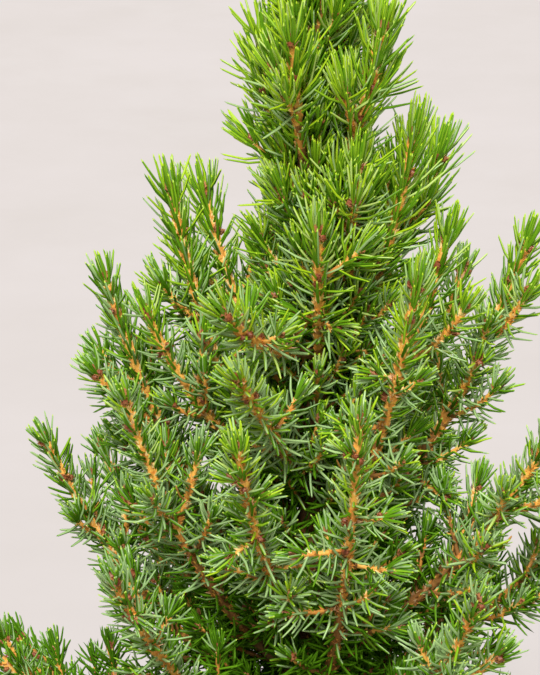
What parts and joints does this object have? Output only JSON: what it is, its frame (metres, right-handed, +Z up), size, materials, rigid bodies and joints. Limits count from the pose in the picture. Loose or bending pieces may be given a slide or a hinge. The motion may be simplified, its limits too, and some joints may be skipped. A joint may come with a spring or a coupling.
{
  "type": "potted alberta spruce",
  "caption": "Young dwarf conifer with upswept boughs and short needles in a loose cone, growing in a plain round clay pot with a banded rim.",
  "frame": {"origin": "middle of the pot's flat underside", "axes": "+Z up along the trunk; -Y is the side that the plant is seen from in the picture; +X to the right of that side"},
  "size_m": [0.1914, 0.1997, 0.4278],
  "materials": {
    "clay": "matt unglazed terracotta",
    "mix": "loose moist bark and peat",
    "bark": "scaly bark",
    "twig": "orange-tan twig with needle pegs",
    "needles": "waxy green needles"
  },
  "bodies": {
    "root": {"pot": "clay", "growing_mix": "mix", "trunk": "bark", "crown_front_spray": "needles", "crown_front_right_spray": "needles", "crown_right_spray": "needles", "crown_back_right_spray": "needles", "crown_back_spray": "needles", "crown_left_spray": "needles", "top_front_spray": "needles", "top_right_spray": "needles", "top_back_spray": "needles", "top_left_spray": "needles", "shoulder_right_front_spray": "needles", "shoulder_right_spray": "needles", "shoulder_back_right_spray": "needles", "shoulder_back_spray": "needles", "shoulder_back_left_spray": "needles", "shoulder_left_spray": "needles", "shoulder_left_low_spray": "needles", "shoulder_left_front_spray": "needles", "middle_front_left_spray": "needles", "middle_right_bough": "twig", "middle_right_spray": "needles", "middle_right_back_spray": "needles", "middle_back_right_spray": "needles", "middle_back_left_spray": "needles", "middle_left_back_bough": "twig", "middle_left_back_spray": "needles", "middle_left_bough": "twig", "middle_left_spray": "needles", "middle_left_front_bough": "twig", "middle_left_front_spray": "needles", "front_left_bough": "twig", "front_left_spray": "needles", "front_bough": "twig", "front_spray": "needles", "middle_right_front_spray": "needles", "low_right_bough": "twig", "low_right_spray": "needles", "low_back_right_spray": "needles", "low_back_spray": "needles", "low_back_left_spray": "needles", "low_left_bough": "twig", "low_left_spray": "needles", "low_front_left_bough": "twig", "low_front_left_spray": "needles", "low_front_right_bough": "twig", "low_front_right_spray": "needles", "skirt_right_spray": "needles", "skirt_right_back_spray": "needles", "skirt_back_right_spray": "needles", "skirt_back_left_spray": "needles", "skirt_left_back_spray": "needles", "skirt_left_spray": "needles", "skirt_left_front_spray": "needles", "skirt_front_left_spray": "needles", "skirt_front_right_spray": "needles", "skirt_right_front_spray": "needles", "leader_spray": "needles"}
  },
  "joints": []
}
